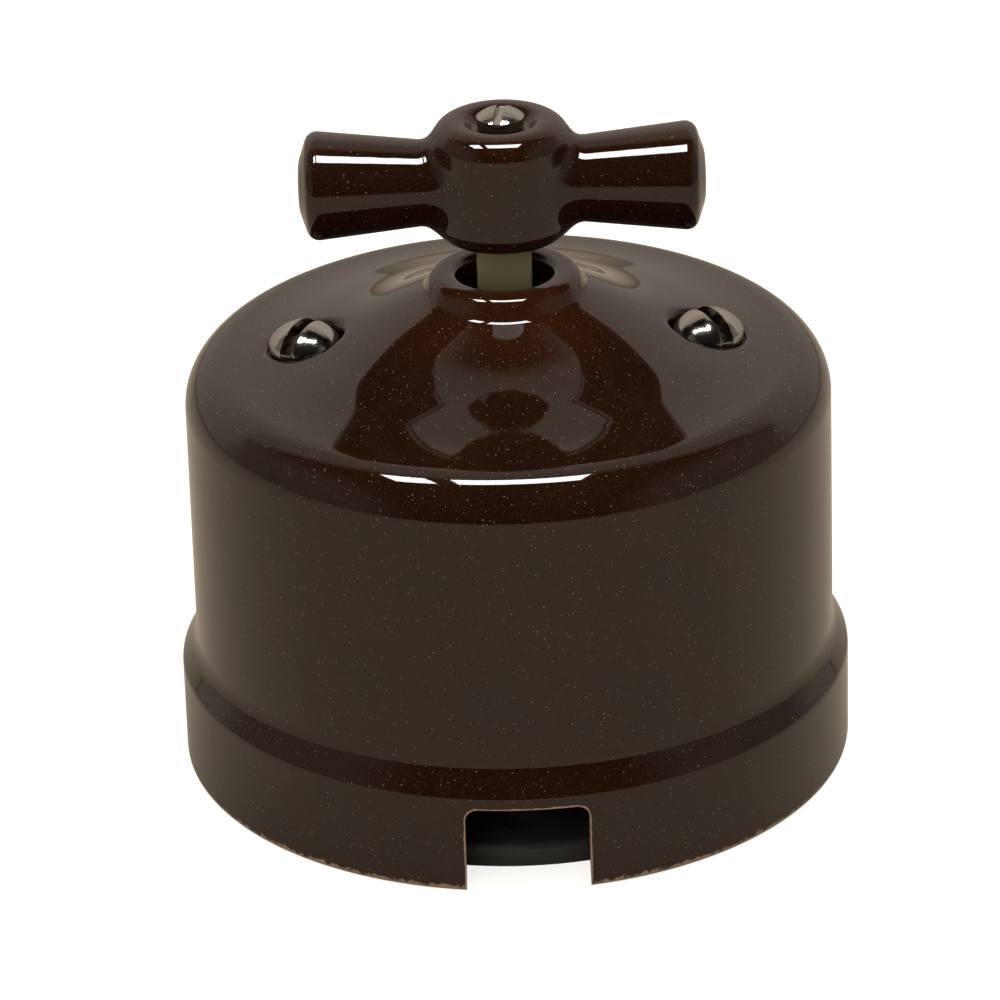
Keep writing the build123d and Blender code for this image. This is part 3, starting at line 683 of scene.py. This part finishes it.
def knob_outlines(knob):
    """Half outline of the hub as (radius, height) and of the wings as (radius, x)."""
    top = knob.bottom + knob.hub_height
    hub = rounded(
        [
            (0, knob.bottom),
            (knob.hub_radius, knob.bottom, knob.hub_foot),
            (knob.hub_radius, top, knob.hub_top),
            (knob.crater_radius, top, knob.crater_lip),
            (knob.crater_floor, top - knob.crater_depth),
            (0, top - knob.crater_depth),
        ],
        steps=10,
    )
    half = [
        (0, knob.wing_reach),
        (knob.wing_end_flat, knob.wing_reach, knob.face_fillet),
        (knob.wing_end_radius, knob.wing_reach - knob.wing_end_dome, knob.end_fillet),
        (knob.wing_neck_radius, knob.wing_neck, knob.waist_fillet),
    ]
    wings = rounded(half + [(c[0], -c[1], *c[2:]) for c in reversed(half)], steps=10)
    return hub, wings


def knob_field(points, hub, wings, axis_height, blend):
    """Signed distance to the knob's surface: hub and wings run into each other softly."""
    hub_points = np.stack([np.hypot(points[:, 0], points[:, 1]), points[:, 2]], axis=1)
    across = np.hypot(points[:, 1], points[:, 2] - axis_height)
    to_hub = distance_to_outline(hub_points, hub)
    to_wings = distance_to_outline(np.stack([across, points[:, 0]], axis=1), wings)
    overlap = np.maximum(blend - np.abs(to_hub - to_wings), 0)
    return np.minimum(to_hub, to_wings) - overlap**2 / (4 * blend)


class SWITCH_OT_cover(bpy.types.Operator):
    """Glazed porcelain cover with collar, screw wells and cable notch"""

    bl_idname = "switch.cover"
    bl_label = "Glazed cover"

    def execute(self, context):
        cover = context.scene.switch_cover
        finish = context.scene.switch_finish
        spacing = 0.8 * MM
        dome_from = 5 * MM
        dome_to = 33 * MM
        outline = divided(cover_section(cover), spacing, dome_from, dome_to)
        bm = bmesh.new()
        spin_outline(bm, outline, steps=240)
        for side in (-1, 1):
            sink_well(bm, cover, outline, side)
        bm = cut_notch(bm, cover)
        sharpen(bm, math.radians(40))
        warm_from = 47 * MM
        warm_to = 54 * MM
        glaze = glazed_porcelain("brown glazed porcelain", finish, warm_from, warm_to, cover)
        piece = add_piece("glazed_cover", bm, BODY_STILL, glaze)
        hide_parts("cover")
        return {"FINISHED"}


class SWITCH_OT_knob(bpy.types.Operator):
    """Glazed porcelain knob: a hub with a crater and two wings, all one piece"""

    bl_idname = "switch.knob"
    bl_label = "Glazed knob"

    def execute(self, context):
        knob = context.scene.switch_knob
        finish = context.scene.switch_finish
        hub, wings = knob_outlines(knob)
        axis_height = knob.bottom + knob.wing_rise
        bm = bmesh.new()
        spin_outline(bm, hub, steps=96)
        spin_outline(bm, wings, steps=96, axis="X", height=axis_height)
        warm_from = 66 * MM
        warm_to = 80 * MM
        glaze = glazed_porcelain("brown glazed porcelain knob", finish, warm_from, warm_to)
        piece = add_piece("glazed_knob", bm, BODY_TURNING, glaze)
        remesh = piece.modifiers.new("even grain", "REMESH")
        remesh.mode = "VOXEL"
        remesh.voxel_size = knob.grain
        settle(piece, "glazed_knob")
        mesh = piece.data
        points = np.empty(len(mesh.vertices) * 3)
        mesh.vertices.foreach_get("co", points)
        points = points.reshape(-1, 3)
        step = 0.02 * MM
        least_slope = 0.25
        # Each round moves the vertices along the slope of the distance, onto the true surface
        for _ in range(2):
            here = knob_field(points, hub, wings, axis_height, knob.blend)
            slope = np.stack(
                [
                    knob_field(points + step * unit, hub, wings, axis_height, knob.blend)
                    - knob_field(points - step * unit, hub, wings, axis_height, knob.blend)
                    for unit in np.eye(3)
                ],
                axis=1,
            ) / (2 * step)
            strength = np.maximum((slope**2).sum(axis=1), least_slope)
            points -= (here / strength)[:, None] * slope
        mesh.vertices.foreach_set("co", points.ravel())
        mesh.update()
        mesh.shade_smooth()
        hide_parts("knob")
        return {"FINISHED"}


def slotted_screw(seat, shank_radius, shank_length, radius, side, dome, slot_width, slot_depth, turn, edge):
    """A domed, slotted screw with its head's underside at seat, as a bmesh."""
    ball = (radius**2 + dome**2) / (2 * dome)
    reach = math.asin(radius / ball)
    arc_steps = 16
    arc = []
    for k in range(arc_steps + 1):
        turned = reach * k / arc_steps
        arc.append((ball * math.sin(turned), side + dome - ball + ball * math.cos(turned)))
    foot = rounded(
        [(0, -shank_length), (shank_radius, -shank_length, edge), (shank_radius, 0), (radius, 0, edge)],
        steps=3,
    )
    bm = bmesh.new()
    spin_outline(bm, foot + arc[::-1], steps=64)
    cutter = bmesh.new()
    bmesh.ops.create_cube(cutter, size=1)
    bmesh.ops.scale(cutter, verts=cutter.verts, vec=(4 * radius, slot_width, 2 * slot_depth))
    bmesh.ops.translate(cutter, verts=cutter.verts, vec=(0, 0, side + dome))
    bmesh.ops.rotate(cutter, verts=cutter.verts, cent=(0, 0, 0), matrix=Matrix.Rotation(turn, 3, "Z"))
    bm = carve(bm, cutter)
    corner_angle = math.radians(50)
    corners = [e for e in bm.edges if len(e.link_faces) == 2 and e.calc_face_angle() > corner_angle]
    corners = [e for e in corners if all(v.co.z > side / 2 for v in e.verts)]
    bmesh.ops.bevel(
        bm, geom=corners, offset=edge, offset_type="OFFSET", segments=3, profile=0.5, affect="EDGES",
        clamp_overlap=True, material=-1,
    )
    sharpen(bm, math.radians(35))
    bmesh.ops.translate(bm, verts=bm.verts, vec=seat)
    return bm


class SWITCH_OT_screws(bpy.types.Operator):
    """Polished nickel screws: two in the cover's wells and one in the knob's crater"""

    bl_idname = "switch.screws"
    bl_label = "Nickel screws"

    def execute(self, context):
        cover = context.scene.switch_cover
        screws = context.scene.switch_screws
        finish = context.scene.switch_finish
        nickel = worked_metal("polished nickel plate", finish.nickel, 0.13, 0.3 * MM, 0.004 * MM)
        both = bmesh.new()
        for side in (-1, 1):
            one = slotted_screw(
                (side * cover.well_offset, 0, cover.well_floor), screws.shank_radius, screws.shank_length,
                screws.head_radius, screws.head_side, screws.head_dome, screws.slot_width, screws.slot_depth,
                -side * screws.slot_angle, screws.edge,
            )
            mesh = bpy.data.meshes.new("one screw")
            one.to_mesh(mesh)
            one.free()
            both.from_mesh(mesh)
        piece = add_piece("cover_screw_pair", both, BODY_STILL, nickel)
        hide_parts("cover_screws")
        small = slotted_screw(
            (0, 0, screws.knob_head_seat), screws.knob_shank_radius, screws.knob_shank_length,
            screws.knob_head_radius, screws.knob_head_side, screws.knob_head_dome, screws.knob_slot_width,
            screws.knob_slot_depth, screws.knob_slot_angle, screws.edge,
        )
        piece = add_piece("knob_crater_screw", small, BODY_TURNING, nickel)
        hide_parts("knob_screw")
        return {"FINISHED"}


class SWITCH_OT_inner_parts(bpy.types.Operator):
    """Finishes of the base, the contacts, the spindle and what turns with it"""

    bl_idname = "switch.inner_parts"
    bl_label = "Inner parts"

    def execute(self, context):
        finish = context.scene.switch_finish
        blued = finish.spring_steel
        # A moulding's numbers are its roughness and the shade of its darker clouds, and a metal's are its
        # roughness and the spacing and depth of its lines
        finishes = {
            "base_black": moulding("black phenolic moulding", finish.black, 0.35, 0.6),
            "plate_black": moulding("black phenolic plate", finish.black, 0.4, 0.7),
            "spindle_ivory": moulding("ivory nylon moulding", finish.ivory, 0.4, 0.85),
            "bush_white": moulding("white nylon moulding", finish.white, 0.45, 0.9),
            "contact_brass": worked_metal("rolled brass strip", finish.brass, 0.3, 0.2 * MM, 0.006 * MM),
            "terminal_brass": worked_metal("sawn brass bar", finish.brass, 0.36, 0.35 * MM, 0.01 * MM),
            "insert_brass": worked_metal("turned brass", finish.brass, 0.28, 0.25 * MM, 0.006 * MM),
            "inner_steel": worked_metal("zinc plated steel", finish.zinc, 0.34, 0.4 * MM, 0.005 * MM),
            "spring_steel": worked_metal("blued spring steel", blued, 0.3, 0.3 * MM, 0.004 * MM),
        }
        for row in frame["record"]["subparts"]:
            node = frame["nodes"][row["node"]]
            material = finishes.get(row["material_slot"])
            if material and not node.hide_render:
                node.data.materials.clear()
                node.data.materials.append(material)
        return {"FINISHED"}


class SWITCH_OT_stage(bpy.types.Operator):
    """Pale floor, soft overhead light and the camera"""

    bl_idname = "switch.stage"
    bl_label = "Stage"

    def execute(self, context):
        scene = context.scene
        stage = scene.switch_stage
        self.set_camera(scene, stage)
        self.lay_floor(scene, stage)
        self.hang_cards(scene, stage)
        self.hang_lamps(scene, stage)
        self.set_world(scene)
        scene.view_settings.view_transform = "Standard"
        return {"FINISHED"}

    def set_camera(self, scene, stage):
        """Camera at the photo's angle, turned slightly about its line of sight."""
        back = Vector((0, -math.cos(stage.elevation), math.sin(stage.elevation)))
        level_right = Vector((1, 0, 0))
        level_up = Vector((0, math.sin(stage.elevation), math.cos(stage.elevation)))
        turned = math.sin(stage.roll), math.cos(stage.roll)
        right = level_right * turned[1] - level_up * turned[0]
        up = level_up * turned[1] + level_right * turned[0]
        aim = Vector((0, 0, stage.aim_height)) - right * stage.aim_left - up * stage.aim_down
        data = bpy.data.cameras.new("camera")
        data.lens = stage.lens
        data.sensor_width = 36
        data.clip_start = 0.01
        data.clip_end = 20
        camera = bpy.data.objects.new("camera", data)
        scene.collection.objects.link(camera)
        turn = Matrix((right, up, back)).transposed()
        camera.matrix_world = Matrix.Translation(aim + back * stage.distance) @ turn.to_4x4()
        scene.camera = camera

    def lay_floor(self, scene, stage):
        """Pale floor that the camera sees as white away from the shadow."""
        bm = bmesh.new()
        bmesh.ops.create_grid(bm, x_segments=1, y_segments=1, size=stage.floor_size)
        mesh = bpy.data.meshes.new("floor")
        bm.to_mesh(mesh)
        bm.free()
        floor = bpy.data.objects.new("floor", mesh)
        scene.collection.objects.link(floor)
        material, tree, output, _ = new_material("pale floor paper")
        paper = add_node(tree, "ShaderNodeBsdfDiffuse", {"Color": rgba(scene.switch_finish.floor)})
        seen = add_node(tree, "ShaderNodeLightPath")
        lift = add_node(
            tree, "ShaderNodeMath", {"operation": "MULTIPLY", 1: stage.floor_lift},
            {0: (seen, "Is Camera Ray")},
        )
        glow = add_node(tree, "ShaderNodeEmission", None, {"Strength": (lift, "Value")})
        both = add_node(tree, "ShaderNodeAddShader", None, {0: (paper, 0), 1: (glow, 0)})
        tree.links.new(both.outputs[0], output.inputs["Surface"])
        floor.data.materials.append(material)

    def hang_cards(self, scene, stage):
        """Two bright panels overhead, with a gap between them, that only reflections see."""
        material, tree, output, _ = new_material("lamp card")
        bounce = add_node(tree, "ShaderNodeLightPath")
        between = 1.5
        first = add_node(
            tree, "ShaderNodeMath", {"operation": "LESS_THAN", 1: between}, {0: (bounce, "Ray Depth")}
        )
        weak = stage.card_second * stage.card_power
        power = add_node(
            tree, "ShaderNodeMapRange", {"To Min": weak, "To Max": stage.card_power},
            {"Value": (first, "Value")},
        )
        glow = add_node(tree, "ShaderNodeEmission", None, {"Strength": (power, "Result")})
        tree.links.new(glow.outputs[0], output.inputs["Surface"])
        front = stage.card_front
        behind = stage.card_back
        for name, west, east in (("left", -48 * MM, -29 * MM), ("right", -20 * MM, 27 * MM)):
            bm = bmesh.new()
            bmesh.ops.create_grid(bm, x_segments=1, y_segments=1, size=0.5)
            bmesh.ops.scale(bm, verts=bm.verts, vec=(east - west, behind - front, 1))
            middle = ((west + east) / 2, (front + behind) / 2, stage.card_height)
            bmesh.ops.translate(bm, verts=bm.verts, vec=middle)
            mesh = bpy.data.meshes.new(f"{name} card")
            bm.to_mesh(mesh)
            bm.free()
            card = bpy.data.objects.new(f"{name} card", mesh)
            scene.collection.objects.link(card)
            card.data.materials.append(material)
            card.visible_camera = False
            card.visible_diffuse = False
            card.visible_shadow = False

    def hang_lamps(self, scene, stage):
        """Soft overhead and front lamps for the colours, which reflections don't see."""
        target = Vector((0, 0, stage.aim_height))
        for name, place, size, power in (
            ("overhead lamp", (0.1, -0.15, 1.0), 0.7, 9.0),
            ("front lamp", (-0.5, -1.1, 0.8), 0.7, 6.0),
        ):
            data = bpy.data.lights.new(name, "AREA")
            data.size = size
            data.energy = power
            lamp = bpy.data.objects.new(name, data)
            scene.collection.objects.link(lamp)
            lamp.location = place
            lamp.rotation_euler = (Vector(place) - target).to_track_quat("Z", "Y").to_euler()
            lamp.visible_glossy = False

    def set_world(self, scene):
        """Room that reflections see, dark in front with pale sides and a bright sheet of paper behind, and
        plain pale light for everything else."""
        world = bpy.data.worlds.new("room")
        scene.world = world
        world.use_nodes = True
        tree = world.node_tree
        tree.nodes.clear()
        place = add_node(tree, "ShaderNodeTexCoord")
        parts = add_node(tree, "ShaderNodeSeparateXYZ", None, {"Vector": (place, "Generated")})
        soft = {"interpolation_type": "SMOOTHSTEP"}
        dark = 0.01
        # The sides of the room, from 30 degrees off the middle
        aside = add_node(tree, "ShaderNodeMath", {"operation": "ABSOLUTE"}, {0: (parts, "X")})
        sides = add_node(
            tree, "ShaderNodeMapRange",
            {**soft, "From Min": 0.5, "From Max": 0.85, "To Min": dark, "To Max": 0.24},
            {"Value": (aside, "Value")},
        )
        # A brighter part, high up and behind
        lean = add_node(
            tree, "ShaderNodeVectorMath", {"operation": "DOT_PRODUCT", 1: (0.0, 0.95, 0.3)},
            {0: (place, "Generated")},
        )
        above = add_node(
            tree, "ShaderNodeMapRange",
            {**soft, "From Min": 0.48, "From Max": 0.64, "To Min": dark, "To Max": 0.5},
            {"Value": (lean, "Value")},
        )
        dim = add_node(
            tree, "ShaderNodeMath", {"operation": "MAXIMUM"}, {0: (sides, "Result"), 1: (above, "Result")}
        )
        # The sheet of paper, up to 47 degrees above the horizon
        drop = add_node(
            tree, "ShaderNodeVectorMath", {"operation": "DOT_PRODUCT", 1: (0.0, 1.0, -0.93)},
            {0: (place, "Generated")},
        )
        sheet = add_node(
            tree, "ShaderNodeMapRange", {**soft, "From Min": -0.07, "From Max": 0.07},
            {"Value": (drop, "Value")},
        )
        behind = add_node(
            tree, "ShaderNodeMapRange", {**soft, "From Min": 0.2, "From Max": 0.5},
            {"Value": (parts, "Y")},
        )
        backdrop = add_node(
            tree, "ShaderNodeMath", {"operation": "MULTIPLY"}, {0: (sheet, "Result"), 1: (behind, "Result")}
        )
        fade = add_node(
            tree, "ShaderNodeMapRange", {"From Min": 0.0, "From Max": 0.5, "To Min": 0.45, "To Max": 0.66},
            {"Value": (parts, "Z")},
        )
        bright = add_node(
            tree, "ShaderNodeMix", {"data_type": "FLOAT"},
            {0: (backdrop, "Value"), 2: (dim, "Value"), 3: (fade, "Result")},
        )
        seen = add_node(tree, "ShaderNodeLightPath")
        plain = 0.55
        strength = add_node(
            tree, "ShaderNodeMix", {"data_type": "FLOAT", 2: plain},
            {0: (seen, "Is Glossy Ray"), 3: (bright, 0)},
        )
        white = (1.0, 1.0, 1.0)
        warm = (1.0, 0.88, 0.77)
        tint = add_node(
            tree, "ShaderNodeMix", {"data_type": "RGBA", 6: rgba(white), 7: rgba(warm)},
            {0: (seen, "Is Glossy Ray")},
        )
        background = add_node(
            tree, "ShaderNodeBackground", None, {"Color": (tint, 2), "Strength": (strength, 0)}
        )
        output = add_node(tree, "ShaderNodeOutputWorld")
        tree.links.new(background.outputs[0], output.inputs["Surface"])


class SWITCH_PT_panel(bpy.types.Panel):
    """Lists the switch's pieces"""

    bl_idname = "SWITCH_PT_panel"
    bl_label = "Porcelain two-way switch"
    bl_space_type = "VIEW_3D"
    bl_region_type = "UI"
    bl_category = "Switch"

    def draw(self, context):
        for operator in OPERATORS:
            self.layout.operator(operator.bl_idname)


OPERATORS = (SWITCH_OT_cover, SWITCH_OT_knob, SWITCH_OT_screws, SWITCH_OT_inner_parts, SWITCH_OT_stage)


def register():
    """Registers the settings, the operators and the panel."""
    for name, group in SETTINGS:
        bpy.utils.register_class(group)
        setattr(bpy.types.Scene, name, PointerProperty(type=group))
    for operator in OPERATORS:
        bpy.utils.register_class(operator)
    bpy.utils.register_class(SWITCH_PT_panel)


def unregister():
    """Removes what register added."""
    bpy.utils.unregister_class(SWITCH_PT_panel)
    for operator in reversed(OPERATORS):
        bpy.utils.unregister_class(operator)
    for name, group in reversed(SETTINGS):
        delattr(bpy.types.Scene, name)
        bpy.utils.unregister_class(group)


def main():
    """Makes every piece and the stage."""
    register()
    bpy.ops.switch.cover()
    bpy.ops.switch.knob()
    bpy.ops.switch.screws()
    bpy.ops.switch.inner_parts()
    bpy.ops.switch.stage()


if __name__ == "__main__":
    main()
